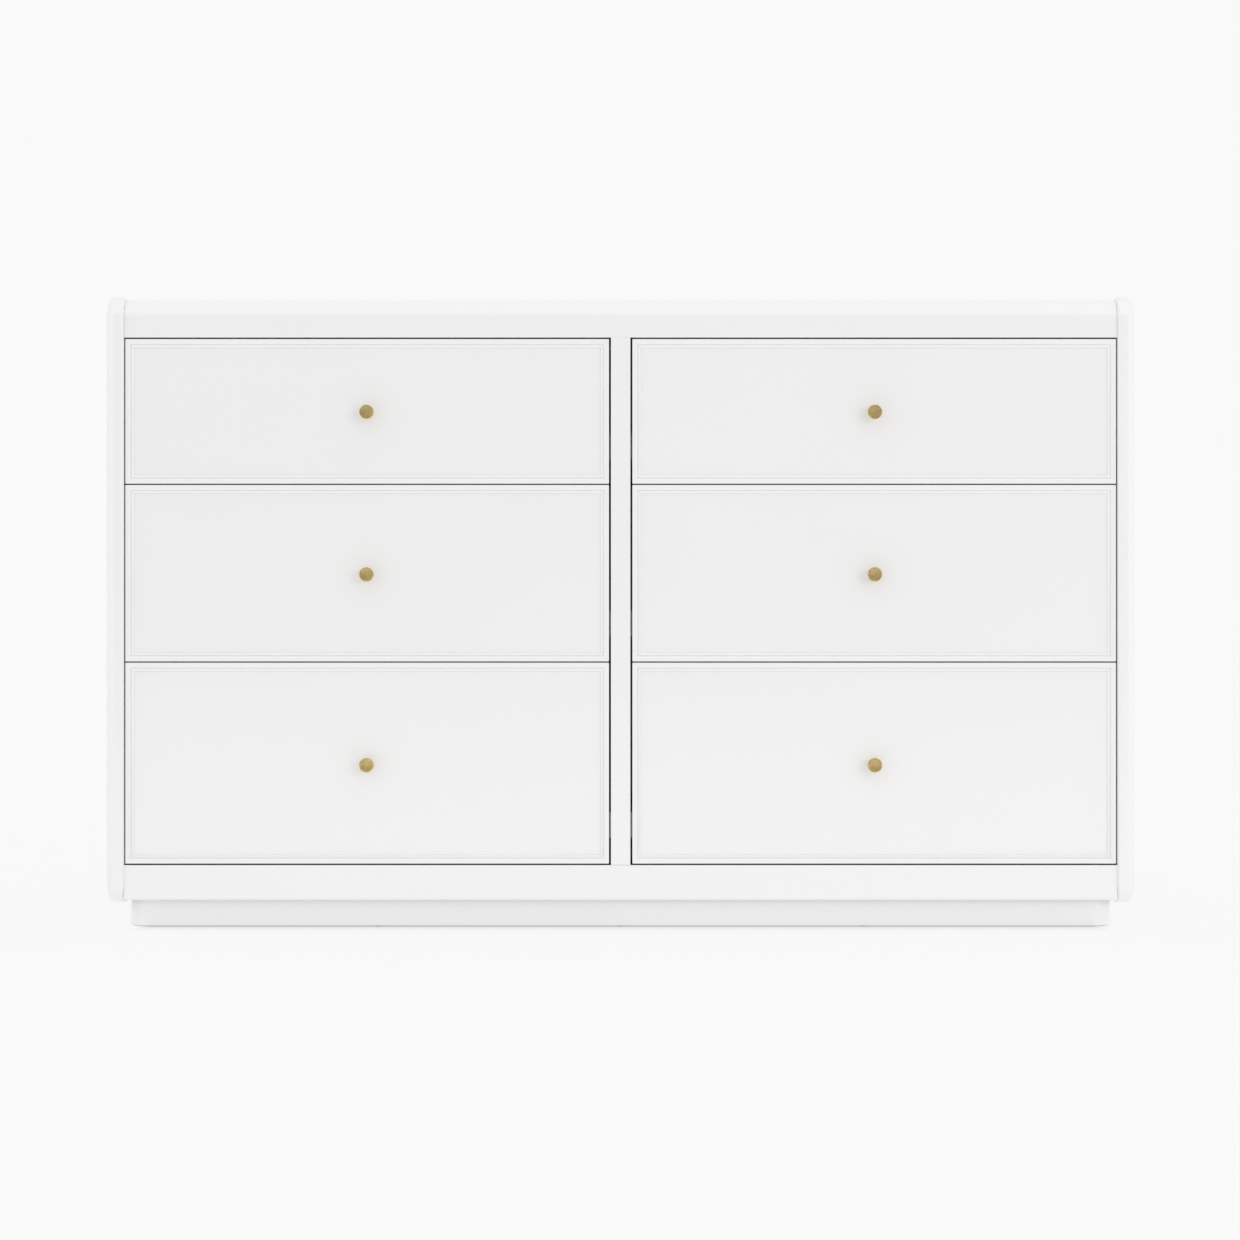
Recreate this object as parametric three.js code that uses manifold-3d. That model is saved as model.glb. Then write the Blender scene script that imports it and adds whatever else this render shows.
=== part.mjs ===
// A low white dresser with six inset drawers in two columns of three, on a recessed plinth.
//
// Millimetres, +Z up. The front faces -Y and +X is to the right as seen from the front. The origin is on
// the floor, under the middle of the dresser's box, knobs included.
//
// The side panels stand proud of everything between them by one even reveal: above the top, in front of
// the drawers and below the bottom rail. Each drawer is a front screwed to a wooden box that runs on a
// pair of two-member slides.

import * as THREE from "three";
import { mergeVertices } from "three/addons/utils/BufferGeometryUtils.js";
import Module from "manifold-3d";

const wasm = await Module();
wasm.setup();

// -------------------------------------------------------------------------------- driving dimensions

const overallWidth = 1422;
const overallHeight = 876;
const sideDepth = 494; // front to back over the side panels, without the knobs
const seam = 0.3; // glue line between two pieces that butt
const cutMargin = 10; // how far a cutting tool runs past the piece it cuts

const sideThickness = 25;
const sideFoot = 34; // floor to the underside of a side panel
const sideCorner = 32; // radius of a side panel's two front corners, seen from the side
const outerArris = 12; // roundover of the outside edge of a side panel
const innerArris = 5; // roundover of the inside edge of a side panel
const reveal = 5; // how far the side panels stand proud of what is between them

const topThickness = 25;
const topBand = 54; // height of the top's turned-down front edge
const topNose = 26; // radius of the roundover along the top's front edge
const bottomBand = 49; // height of the bottom rail
const railArris = 6; // roundover along the bottom rail's lower edge
const railThickness = 26; // front to back, of the turned-down edge and of the bottom rail
const bottomThickness = 18;
const partitionThickness = 27;
const backThickness = 6;
const backInset = 6; // the back panel sits this far inside the rear edges of the sides

const plinthThickness = 18;
const plinthCorner = 30; // outside radius of the plinth's two front corners
const leastRadius = 1; // inside a bent board, however tight its bend
const plinthReturn = 60; // length that the front plinth board turns back at each end
const plinthClearance = 2; // plinth to the back of the bottom rail
const plinthRearSetback = 30; // room for a skirting board behind the plinth

const rowNames = ["top", "middle", "bottom"];
const topFrontHeight = 200;
const middleFrontHeight = 244; // the bottom front takes the height that is left
const edgeGap = 2; // above the top fronts and below the bottom ones
const rowGap = 1.6; // from one row of fronts to the next
const sideGap = 1.4; // between a front and the side panel
const stileGap = 2.6; // between a front and the stile
const frontThickness = 20;
const rimWidth = 7; // flat raised rim round each front
const quirkDepth = 1.5; // straight drop inside the rim
const mouldWidth = 5; // sloping band between the quirk and the flat panel
const panelRecess = 4; // rim face to panel face

const boxTopDrop = 20; // front's top edge down to the box's top edge
const boxBottomLift = 12; // front's bottom edge up to the box's bottom edge
const boxWall = 12;
const sheetThickness = 5; // drawer bottom
const sheetLift = 8; // box's bottom edge up to the groove for the drawer bottom
const grooveDepth = 6;
const grooveClearance = 0.4; // round the sheet in its groove

const slideGap = 12.7; // drawer box to case on each side, the room that a slide needs
const slideHeight = 35;
const slideWall = 1.4; // folded sheet steel
const slideLip = 5; // height of the case member's turned-in lip
const slideLift = 40; // box's bottom edge up to the middle of the slide
const slideRunClearance = 2; // between the two members at the lips, where the balls roll
const slideFaceClearance = 0.5; // case member's lips to the drawer box
const slideSetback = 2; // front end of a slide, behind the drawer front
const slideRearRoom = 4; // least room behind a slide
const slideStep = 50; // slides are sold in lengths this far apart

const knobDrop = 2; // below the middle of its front
const knobDiameter = 20;
const knobStemDiameter = 10;
const knobFootDiameter = 12;
const knobProjection = 24; // panel face to knob face
const knobDish = 0.8; // hollow in the knob's face
const knobSides = 24;
const knobFootHeight = 2;
const knobHeadHeight = 5; // cylindrical band of the head
const knobEdge = 1; // rounded edge of the head
const knobRing = 1; // flat ring round the dish

const arcSteps = 8; // straight steps in each rounded corner

// --------------------------------------------------------------------------------- derived positions

const knobSeat = panelRecess - seam; // Y of a knob's foot, behind the rim of its drawer front
const knobProud = knobProjection - knobSeat - reveal; // knob face beyond the side panels
const sideFront = -(sideDepth + knobProud) / 2 + knobProud; // Y of the front edges of the side panels
const sideBack = sideFront + sideDepth;
const frontPlane = sideFront + reveal; // Y of the rails, the stile and the rims of the fronts
const railBack = frontPlane + railThickness;
const backPanelFront = sideBack - backInset - backThickness;

const innerHalf = overallWidth / 2 - sideThickness; // X of the inside faces of the sides
const caseTop = overallHeight - reveal;
const caseBottom = sideFoot + reveal;
const openingTop = caseTop - topBand;
const openingBottom = caseBottom + bottomBand;
const underTop = caseTop - topThickness;
const plinthHeight = openingBottom - bottomThickness;
const plinthHalf = innerHalf - seam;
const plinthFront = railBack + plinthClearance;
const plinthBack = sideBack - plinthRearSetback;

const columnWidth = innerHalf - partitionThickness / 2;
const columnCentre = (innerHalf + partitionThickness / 2) / 2;
const frontWidth = columnWidth - sideGap - stileGap;
const frontOffset = (stileGap - sideGap) / 2; // how far a front stands off its column's middle
const rowsHeight = openingTop - openingBottom - 2 * edgeGap;
const bottomFrontHeight = rowsHeight - topFrontHeight - middleFrontHeight - 2 * rowGap;
const frontHeights = [topFrontHeight, middleFrontHeight, bottomFrontHeight];

const boxWidth = columnWidth - 2 * slideGap;
const slideFront = frontPlane + frontThickness + slideSetback;
const slideRoom = backPanelFront - slideFront - slideRearRoom;
const slideLength = Math.floor(slideRoom / slideStep) * slideStep;
const boxDepth = slideLength;

// ------------------------------------------------------------------------------------------ finishes

const lacquer = new THREE.MeshStandardMaterial({ color: 0xf1f0ee, roughness: 0.42, metalness: 0 });
const backPaint = new THREE.MeshStandardMaterial({ color: 0xe9e7e2, roughness: 0.65, metalness: 0 });
const boxWood = new THREE.MeshStandardMaterial({ color: 0xd8bd93, roughness: 0.6, metalness: 0 });
const sheetWood = new THREE.MeshStandardMaterial({ color: 0xdcc59f, roughness: 0.65, metalness: 0 });
const brass = new THREE.MeshStandardMaterial({ color: 0xb8924f, roughness: 0.34, metalness: 1 });
const zincSteel = new THREE.MeshStandardMaterial({ color: 0xb6babd, roughness: 0.38, metalness: 1 });

// ------------------------------------------------------------------------------------- solid helpers

// A closed geometry as a solid that can be joined and cut.
function solid(geometry) {
  const bare = geometry.clone();
  bare.deleteAttribute("normal");
  bare.deleteAttribute("uv");
  const merged = mergeVertices(bare, 1e-4);
  return new wasm.Manifold(
    new wasm.Mesh({
      numProp: 3,
      vertProperties: new Float32Array(merged.attributes.position.array),
      triVerts: new Uint32Array(merged.index.array),
    }),
  );
}

// A solid back as a geometry with flat faces.
function geometryOf(made) {
  const mesh = made.getMesh();
  const geometry = new THREE.BufferGeometry();
  geometry.setAttribute("position", new THREE.BufferAttribute(new Float32Array(mesh.vertProperties), 3));
  geometry.setIndex(new THREE.BufferAttribute(new Uint32Array(mesh.triVerts), 1));
  const flat = geometry.toNonIndexed();
  flat.computeVertexNormals();
  return flat;
}

function block(x0, x1, y0, y1, z0, z1) {
  const made = new THREE.BoxGeometry(x1 - x0, y1 - y0, z1 - z0);
  return made.translate((x0 + x1) / 2, (y0 + y1) / 2, (z0 + z1) / 2);
}

function outline(points) {
  return new THREE.Shape(points.map(([a, b]) => new THREE.Vector2(a, b)));
}

// Sweeps an outline drawn in Y and Z from x0 to x1.
function sweepAlongX(shape, x0, x1, options = {}) {
  const made = new THREE.ExtrudeGeometry(shape, {
    depth: x1 - x0,
    bevelEnabled: false,
    curveSegments: arcSteps,
    ...options,
  });
  const yzToX = new THREE.Matrix4().makeBasis(
    new THREE.Vector3(0, 1, 0),
    new THREE.Vector3(0, 0, 1),
    new THREE.Vector3(1, 0, 0),
  );
  return made.applyMatrix4(yzToX).translate(x0, 0, 0);
}

// Sweeps an outline drawn in X and Z from y0 back to y1.
function sweepAlongY(shape, y0, y1) {
  const made = new THREE.ExtrudeGeometry(shape, { depth: y1 - y0, bevelEnabled: false });
  return made.rotateX(Math.PI / 2).translate(0, y1, 0);
}

// Sweeps an outline drawn in X and Y from z0 up to z1.
function sweepAlongZ(shape, z0, z1) {
  const made = new THREE.ExtrudeGeometry(shape, {
    depth: z1 - z0,
    bevelEnabled: false,
    curveSegments: arcSteps,
  });
  return made.translate(0, 0, z0);
}

function piece(name, geometry, material) {
  const mesh = new THREE.Mesh(geometry, material);
  mesh.name = name;
  return mesh;
}

// ---------------------------------------------------------------------------------------------- case

// The panel seen from the side, rounded at both front corners. It runs past the back, where the trim
// leaves it square.
function sidePanelOutline() {
  const back = sideBack + cutMargin + Math.max(outerArris, innerArris);
  const shape = new THREE.Shape();
  shape.moveTo(back, sideFoot);
  shape.lineTo(back, overallHeight);
  shape.lineTo(sideFront + sideCorner, overallHeight);
  shape.absarc(sideFront + sideCorner, overallHeight - sideCorner, sideCorner, Math.PI / 2, Math.PI, false);
  shape.lineTo(sideFront, sideFoot + sideCorner);
  shape.absarc(sideFront + sideCorner, sideFoot + sideCorner, sideCorner, Math.PI, 1.5 * Math.PI, false);
  return shape;
}

// A slab with one face at x = face, its edges rounded over by radius. It lies towards inward, which is 1
// or -1, and is thick enough for its far edges to be cut away.
function roundedSlab(face, inward, radius) {
  const far = face + inward * (sideThickness + 2 * radius);
  return solid(
    sweepAlongX(sidePanelOutline(), Math.min(face, far) + radius, Math.max(face, far) - radius, {
      bevelEnabled: true,
      bevelThickness: radius,
      bevelSize: radius,
      bevelOffset: -radius,
      bevelSegments: arcSteps,
    }),
  );
}

// side is -1 for the left panel and 1 for the right one. The two roundovers meet in a plane inside the
// panel.
function sidePanel(side) {
  const inside = side * innerHalf;
  const outside = side * (innerHalf + sideThickness);
  const meet = outside - side * outerArris;
  const between = (a, b) => {
    const [x0, x1] = [Math.min(a, b), Math.max(a, b)];
    return solid(block(x0, x1, sideFront, sideBack, sideFoot, overallHeight));
  };
  const outer = roundedSlab(outside, -side, outerArris).intersect(between(meet, outside));
  const inner = roundedSlab(inside, side, innerArris).intersect(between(inside, meet));
  return geometryOf(inner.add(outer));
}

// The top with its turned-down front edge, as one profile.
function topPanel() {
  const radius = Math.min(topNose, topBand, sideDepth / 2);
  const shape = new THREE.Shape();
  shape.moveTo(frontPlane, openingTop);
  shape.lineTo(railBack, openingTop);
  shape.lineTo(railBack, underTop);
  shape.lineTo(sideBack, underTop);
  shape.lineTo(sideBack, caseTop);
  shape.lineTo(frontPlane + radius, caseTop);
  shape.absarc(frontPlane + radius, caseTop - radius, radius, Math.PI / 2, Math.PI, false);
  return sweepAlongX(shape, -innerHalf + seam, innerHalf - seam);
}

function bottomRail() {
  const radius = Math.min(railArris, railThickness, bottomBand);
  const shape = new THREE.Shape();
  shape.moveTo(frontPlane, openingBottom);
  shape.lineTo(frontPlane, caseBottom + radius);
  shape.absarc(frontPlane + radius, caseBottom + radius, radius, Math.PI, 1.5 * Math.PI, false);
  shape.lineTo(railBack, caseBottom);
  shape.lineTo(railBack, openingBottom);
  return sweepAlongX(shape, -innerHalf + seam, innerHalf - seam);
}

function bottomPanel() {
  return block(
    -innerHalf + seam,
    innerHalf - seam,
    railBack + seam,
    backPanelFront - seam,
    plinthHeight + seam,
    openingBottom,
  );
}

// The upright between the columns, notched at the top for the top's turned-down edge. It stands on the
// bottom panel and on the bottom rail, and its front edge is the centre stile.
function centrePartition() {
  const shape = outline([
    [frontPlane, openingBottom + seam],
    [backPanelFront - seam, openingBottom + seam],
    [backPanelFront - seam, underTop - seam],
    [railBack + seam, underTop - seam],
    [railBack + seam, openingTop - seam],
    [frontPlane, openingTop - seam],
  ]);
  return sweepAlongX(shape, -partitionThickness / 2, partitionThickness / 2);
}

function backPanel() {
  const backFace = backPanelFront + backThickness;
  return block(-innerHalf + seam, innerHalf - seam, backPanelFront, backFace, plinthHeight, underTop - seam);
}

// -------------------------------------------------------------------------------------------- plinth

// The front plinth board turns back at both ends round a bent corner.
function plinthFrontBoard() {
  const innerRadius = Math.max(plinthCorner - plinthThickness, leastRadius);
  const endY = plinthFront + plinthReturn;
  const innerX = plinthHalf - plinthThickness;
  const innerY = plinthFront + plinthThickness;
  const outerArcX = plinthHalf - plinthCorner;
  const outerArcY = plinthFront + plinthCorner;
  const innerArcX = innerX - innerRadius;
  const innerArcY = innerY + innerRadius;
  const shape = new THREE.Shape();
  shape.moveTo(-plinthHalf, endY);
  shape.lineTo(-plinthHalf, outerArcY);
  shape.absarc(-outerArcX, outerArcY, plinthCorner, Math.PI, 1.5 * Math.PI, false);
  shape.lineTo(outerArcX, plinthFront);
  shape.absarc(outerArcX, outerArcY, plinthCorner, 1.5 * Math.PI, 2 * Math.PI, false);
  shape.lineTo(plinthHalf, endY);
  shape.lineTo(innerX, endY);
  shape.lineTo(innerX, innerArcY);
  shape.absarc(innerArcX, innerArcY, innerRadius, 0, -Math.PI / 2, true);
  shape.lineTo(-innerArcX, innerY);
  shape.absarc(-innerArcX, innerArcY, innerRadius, 1.5 * Math.PI, Math.PI, true);
  shape.lineTo(-innerX, endY);
  return sweepAlongZ(shape, 0, plinthHeight);
}

function plinthSideBoard(side) {
  const faces = [side * plinthHalf, side * (plinthHalf - plinthThickness)];
  const start = plinthFront + plinthReturn + seam;
  return block(Math.min(...faces), Math.max(...faces), start, plinthBack, 0, plinthHeight);
}

function plinthRearBoard() {
  const end = plinthHalf - plinthThickness - seam;
  return block(-end, end, plinthBack - plinthThickness, plinthBack, 0, plinthHeight);
}

// Stands under the centre partition and carries its load to the floor.
function plinthBrace() {
  const start = plinthFront + plinthThickness + seam;
  const end = plinthBack - plinthThickness - seam;
  return block(-plinthThickness / 2, plinthThickness / 2, start, end, 0, plinthHeight);
}

// -------------------------------------------------------------------------------------------- slides

// Both slide sections are drawn with u away from the case wall and v up from the middle of the slide.
// side is -1 where the case wall is to the left of the drawer.
function slideSection(points, side) {
  const mirrored = points.map(([u, v]) => [-side * u, v]);
  return outline(side < 0 ? mirrored : mirrored.reverse());
}

// The outer member: a channel open towards the drawer, with a lip turned in along each edge.
function caseMemberSection(side) {
  const half = slideHeight / 2;
  const depth = slideGap - seam - slideFaceClearance;
  const upper = [
    [slideWall, half - slideWall],
    [depth - slideWall, half - slideWall],
    [depth - slideWall, half - slideLip],
    [depth, half - slideLip],
    [depth, half],
    [0, half],
  ];
  const lower = upper.map(([u, v]) => [u, -v]).reverse();
  return slideSection([...upper, ...lower].reverse(), side);
}

// The inner member: a channel that opens towards the case wall, its edges turned out behind the case
// member's lips.
function drawerMemberSection(side) {
  const flange = slideHeight / 2 - slideLip - slideRunClearance;
  const foot = slideHeight / 2 - slideWall - slideRunClearance;
  const far = slideGap - seam;
  const near = 2 * slideWall;
  const upper = [
    [far - slideWall, flange - slideWall],
    [near, flange - slideWall],
    [near, foot],
    [near + slideWall, foot],
    [near + slideWall, flange],
    [far, flange],
  ];
  const lower = upper.map(([u, v]) => [u, -v]).reverse();
  return slideSection([...upper, ...lower], side);
}

// ------------------------------------------------------------------------------------------- drawers

// A drawer's local frame: X from the middle of its column, Y back from its front's rim, Z up from the
// bottom edge of its front.
function drawerFront(height) {
  const half = frontWidth / 2;
  const board = solid(block(-half, half, 0, frontThickness, 0, height));
  const inset = rimWidth + mouldWidth;
  const pocket = outline([
    [-half + inset, inset],
    [half - inset, inset],
    [half - inset, height - inset],
    [-half + inset, height - inset],
  ]);
  const tool = new THREE.ExtrudeGeometry(pocket, {
    depth: quirkDepth + cutMargin,
    bevelEnabled: true,
    bevelThickness: panelRecess - quirkDepth,
    bevelSize: mouldWidth,
    bevelSegments: 1,
  });
  tool.rotateX(Math.PI / 2).translate(0, quirkDepth, 0);
  return geometryOf(board.subtract(solid(tool)));
}

// The box: two sides, a front board and a back board joined at the corners, grooved for the bottom
// sheet. The back board stops above the sheet, so that the sheet slides in from behind.
function drawerBox(height) {
  const half = boxWidth / 2;
  const front = frontThickness + seam;
  const back = front + boxDepth;
  const bottom = boxBottomLift;
  const top = height - boxTopDrop;
  const grooveBottom = bottom + sheetLift;
  const grooveTop = grooveBottom + sheetThickness + 2 * grooveClearance;
  const grooveHalf = half - boxWall + grooveDepth;
  const outside = solid(block(-half, half, front, back, bottom, top));
  const inside = block(
    -half + boxWall,
    half - boxWall,
    front + boxWall,
    back - boxWall,
    bottom - cutMargin,
    top + cutMargin,
  );
  const grooveFront = front + boxWall - grooveDepth;
  const groove = block(-grooveHalf, grooveHalf, grooveFront, back + cutMargin, grooveBottom, grooveTop);
  const underBack = block(
    -half + boxWall,
    half - boxWall,
    back - 2 * boxWall,
    back + cutMargin,
    bottom - cutMargin,
    grooveTop,
  );
  return geometryOf(outside.subtract(solid(inside)).subtract(solid(groove)).subtract(solid(underBack)));
}

function drawerSheet() {
  const half = boxWidth / 2 - boxWall + grooveDepth - grooveClearance;
  const front = frontThickness + seam + boxWall - grooveDepth + grooveClearance;
  const back = frontThickness + seam + boxDepth;
  const bottom = boxBottomLift + sheetLift + grooveClearance;
  return block(-half, half, front, back, bottom, bottom + sheetThickness);
}

// A turned knob: a small foot, a tapered stem and a flat-edged head with a shallow dish in its face. The
// profile is drawn from the foot's centre out to the rim and back to the centre of the face, then laid
// with its axis along Y.
function knob() {
  const foot = knobFootDiameter / 2;
  const stem = knobStemDiameter / 2;
  const head = knobDiameter / 2;
  const headStart = knobProjection - knobHeadHeight;
  const dishRadius = head - knobEdge - knobRing;
  const dish = (radius) => knobProjection - knobDish * (1 - (radius / dishRadius) ** 2);
  const points = [
    [0, 0],
    [foot, 0],
    [foot, knobFootHeight],
    [stem, knobFootHeight + knobEdge],
    [stem, headStart - (head - stem)],
    [head, headStart],
    [head, knobProjection - knobEdge],
    [head - knobEdge, knobProjection],
    [dishRadius, dish(dishRadius)],
    [dishRadius / 2, dish(dishRadius / 2)],
    [0, dish(0)],
  ];
  const profile = points.map(([radius, height]) => new THREE.Vector2(radius, height));
  const turned = new THREE.LatheGeometry(profile, knobSides);
  return geometryOf(solid(turned)).rotateX(Math.PI);
}

// side is -1 for the slide on the drawer's left and 1 for the one on its right.
function slideName(side) {
  return side < 0 ? "left" : "right";
}

// One whole drawer, in its local frame. column is -1 for the left column and 1 for the right one.
function drawer(name, height, column) {
  const group = new THREE.Group();
  const front = piece(`${name}_drawer_front`, drawerFront(height), lacquer);
  front.position.set(column * frontOffset, 0, 0);
  group.add(front);
  group.add(piece(`${name}_drawer_box`, drawerBox(height), boxWood));
  group.add(piece(`${name}_drawer_bottom`, drawerSheet(), sheetWood));

  const pull = piece(`${name}_knob`, knob(), brass);
  pull.position.set(0, knobSeat, height / 2 - knobDrop);
  group.add(pull);

  for (const side of [-1, 1]) {
    const member = sweepAlongY(drawerMemberSection(side), 0, slideLength);
    const runner = piece(`${name}_drawer_slide_${slideName(side)}`, member, zincSteel);
    runner.position.set((side * columnWidth) / 2, frontThickness + slideSetback, boxBottomLift + slideLift);
    group.add(runner);
  }
  return group;
}

// The two case members of one drawer's slides, in the same local frame as the drawer.
function caseSlides(name) {
  const group = new THREE.Group();
  for (const side of [-1, 1]) {
    const member = sweepAlongY(caseMemberSection(side), 0, slideLength);
    const rail = piece(`${name}_case_slide_${slideName(side)}`, member, zincSteel);
    const wall = side * (columnWidth / 2 - seam);
    rail.position.set(wall, frontThickness + slideSetback, boxBottomLift + slideLift);
    group.add(rail);
  }
  return group;
}

// ------------------------------------------------------------------------------------------ assembly

const dresser = new THREE.Group();

dresser.add(piece("side_panel_left", sidePanel(-1), lacquer));
dresser.add(piece("side_panel_right", sidePanel(1), lacquer));
dresser.add(piece("top_panel", topPanel(), lacquer));
dresser.add(piece("bottom_rail", bottomRail(), lacquer));
dresser.add(piece("bottom_panel", bottomPanel(), lacquer));
dresser.add(piece("centre_partition", centrePartition(), lacquer));
dresser.add(piece("back_panel", backPanel(), backPaint));
dresser.add(piece("plinth_front", plinthFrontBoard(), lacquer));
dresser.add(piece("plinth_left", plinthSideBoard(-1), lacquer));
dresser.add(piece("plinth_right", plinthSideBoard(1), lacquer));
dresser.add(piece("plinth_rear", plinthRearBoard(), lacquer));
dresser.add(piece("plinth_brace", plinthBrace(), lacquer));

for (const side of [-1, 1]) {
  let rowTop = openingTop - edgeGap;
  rowNames.forEach((row, index) => {
    const height = frontHeights[index];
    const name = `${row}_${slideName(side)}`;
    for (const group of [drawer(name, height, side), caseSlides(name)]) {
      group.position.set(side * columnCentre, frontPlane, rowTop - height);
      dresser.add(group);
    }
    rowTop -= height + rowGap;
  });
}

export default dresser;
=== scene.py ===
"""A low white dresser with six inset drawers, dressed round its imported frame.

Laid out as an add-on: property groups hold the sizes and colours, and one operator makes each group of
like pieces. Everything is in metres, +Z up, with the front facing -Y.
"""

import math

import bmesh
import bpy
from bpy.props import FloatProperty, FloatVectorProperty, IntProperty, PointerProperty
from mathutils import Matrix, Vector


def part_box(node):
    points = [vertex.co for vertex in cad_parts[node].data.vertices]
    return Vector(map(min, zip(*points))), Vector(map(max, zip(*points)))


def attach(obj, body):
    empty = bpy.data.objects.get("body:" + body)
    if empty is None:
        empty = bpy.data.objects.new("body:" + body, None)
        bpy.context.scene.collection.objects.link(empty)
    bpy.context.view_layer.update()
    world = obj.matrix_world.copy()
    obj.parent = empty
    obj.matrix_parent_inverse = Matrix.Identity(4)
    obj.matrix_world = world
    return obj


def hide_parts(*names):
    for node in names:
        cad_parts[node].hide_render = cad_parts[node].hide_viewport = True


bl_info = {
    "name": "Six-drawer dresser",
    "version": (1, 0, 0),
    "blender": (4, 5, 0),
    "location": "3D View > Sidebar > Dresser",
    "description": "Builds a lacquered dresser with dovetailed drawers round its frame",
    "category": "Object",
}

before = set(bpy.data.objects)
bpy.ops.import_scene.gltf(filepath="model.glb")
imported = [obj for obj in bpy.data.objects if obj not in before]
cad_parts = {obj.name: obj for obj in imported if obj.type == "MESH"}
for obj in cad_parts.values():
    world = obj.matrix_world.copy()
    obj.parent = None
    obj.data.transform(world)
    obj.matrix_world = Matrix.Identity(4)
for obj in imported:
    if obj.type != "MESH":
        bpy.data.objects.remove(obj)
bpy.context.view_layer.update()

ROWS = ("top", "middle", "bottom")
SIDES = ("left", "right")
DRAWERS = [f"{row}_{side}" for side in SIDES for row in ROWS]
SIGN = {"left": -1, "right": 1}

X = Vector((1, 0, 0))
Y = Vector((0, 1, 0))
Z = Vector((0, 0, 1))

NEAR = 1e-5  # two planes closer than this are the same plane
SHARP_ANGLE = math.radians(35)
PAINTED_SHADOW_REACH = 0.090  # how far in front of the plinth the painted shadow dims the floor's glow
PAINTED_SHADOW_DEPTH = 0.23  # how much the painted shadow dims the floor's glow at the plinth's edge
PAINTED_UNDER_SHADOW_REACH = 0.019  # how far in under the plinth the painted shadow grows until the glow ends
SCREW_STEPS = 12  # flats round a screw head


# ------------------------------------------------------------------------------------ sizes and colours


def length(name, description, default):
    return FloatProperty(name=name, description=description, default=default, unit="LENGTH")


def number(name, description, default, low=0.0, high=math.inf):
    return FloatProperty(name=name, description=description, default=default, min=low, max=high)


def colour(name, description, default):
    return FloatVectorProperty(
        name=name, description=description, default=default, subtype="COLOR", size=3, min=0.0, max=1.0
    )


class CaseSizes(bpy.types.PropertyGroup):
    """Roundovers of the fixed boards."""

    side_corner: length(
        "Side panel corner", "Radius of a side panel's two front corners, seen from the side", 0.032
    )
    outer_arris: length("Outer arris", "Roundover of a side panel's outside edge", 0.012)
    inner_arris: length("Inner arris", "Roundover of a side panel's inside edge", 0.005)
    top_nose: length("Top nose", "Radius of the roundover along the top's front edge", 0.026)
    rail_thickness: length("Rail thickness", "Front to back, of the top's turned-down edge", 0.026)
    top_thickness: length("Top thickness", "Thickness of the top board behind its turned-down edge", 0.025)
    rail_arris: length("Rail arris", "Roundover along the lower rail's bottom edge", 0.006)
    eased_edge: length("Eased edge", "Sanded edge of every other lacquered board", 0.0009)
    plinth_corner: length("Plinth corner", "Outside radius of the plinth's two front corners", 0.030)
    plinth_thickness: length("Plinth thickness", "Thickness of the plinth boards", 0.018)
    glide_height: length(
        "Glide height", "Height of the glides that hold the plinth boards just off the floor", 0.0013
    )
    glide_width: length("Glide width", "Diameter of the glides under the plinth", 0.016)
    joint_edge: length("Joint edge", "Sanded edge where two lacquered boards meet", 0.0004)
    open_joint: length(
        "Open joint", "What the lacquer leaves open of the seam at the ends of the top", 0.00008
    )


class DrawerSizes(bpy.types.PropertyGroup):
    """Sizes of a drawer's front and box."""

    rim_width: length("Rim width", "Raised rim round a drawer front, with its slope", 0.0071)
    quirk_width: length("Quirk width", "Fine groove between the rim and the bead", 0.0012)
    quirk_depth: length("Quirk depth", "Depth of that groove below the rim", 0.0024)
    bead_width: length("Bead width", "Rounded bead between the groove and the flat panel", 0.0036)
    bead_drop: length("Bead drop", "Rim face to the top of the bead", 0.0014)
    slope_width: length("Slope width", "Width of the slope along the rim's inner side", 0.0026)
    slope_drop: length("Slope drop", "How far that slope falls before the groove", 0.0014)
    panel_recess: length("Panel recess", "Rim face to panel face", 0.004)
    rim_arris: length("Rim arris", "Rounded outer edge of the rim", 0.0011)
    box_wall: length("Box wall", "Thickness of the four boards of a drawer box", 0.012)
    box_arris: length("Box arris", "Rounded top edges of a drawer box", 0.0015)
    groove_depth: length("Groove depth", "Groove for the drawer bottom", 0.006)
    groove_clearance: length("Groove clearance", "Room round the drawer bottom in its groove", 0.0004)
    tail_pitch: length("Tail pitch", "Distance from one dovetail to the next, about", 0.028)
    tail_share: number(
        "Tail share", "Share of the pitch that a tail takes at its shoulder", 0.62, low=0.3, high=0.9
    )
    tail_slope: number("Tail slope", "How much a tail flares on each side for its length", 0.14, high=0.3)
    joint_line: length("Joint line", "Width of the line between a tail and a pin", 0.0001)


class HardwareSizes(bpy.types.PropertyGroup):
    """Sizes of the knobs, the slides and the screws."""

    knob_foot: length("Knob foot", "Diameter of a knob's foot", 0.012)
    knob_stem: length("Knob stem", "Diameter of a knob's neck", 0.010)
    knob_foot_height: length("Knob foot height", "Height of a knob's foot", 0.002)
    knob_band: length("Knob band", "Height of the straight band round a knob's head", 0.005)
    knob_edge: length("Knob edge", "Rounded edge of a knob's head", 0.0010)
    knob_dish: length("Knob dish", "Hollow in a knob's face", 0.0005)
    steel: length("Slide steel", "Thickness of the folded sheet of a slide", 0.0014)
    slide_lip: length("Slide lip", "Height of the case member's turned-in lip", 0.005)
    slide_run: length("Slide clearance", "Between the two members of a slide, at the lips", 0.002)
    ball: length("Ball", "Diameter of a slide's balls", 0.005)
    balls_per_row: IntProperty(
        name="Balls per row", description="Balls along each edge of a ball cage", default=8, min=2
    )
    cage_length: length("Cage length", "Length of a slide's ball cage", 0.096)
    screw_head: length("Screw head", "Diameter of the screw heads", 0.0072)
    screw_height: length("Screw height", "Height of the screw heads", 0.0018)


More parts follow.
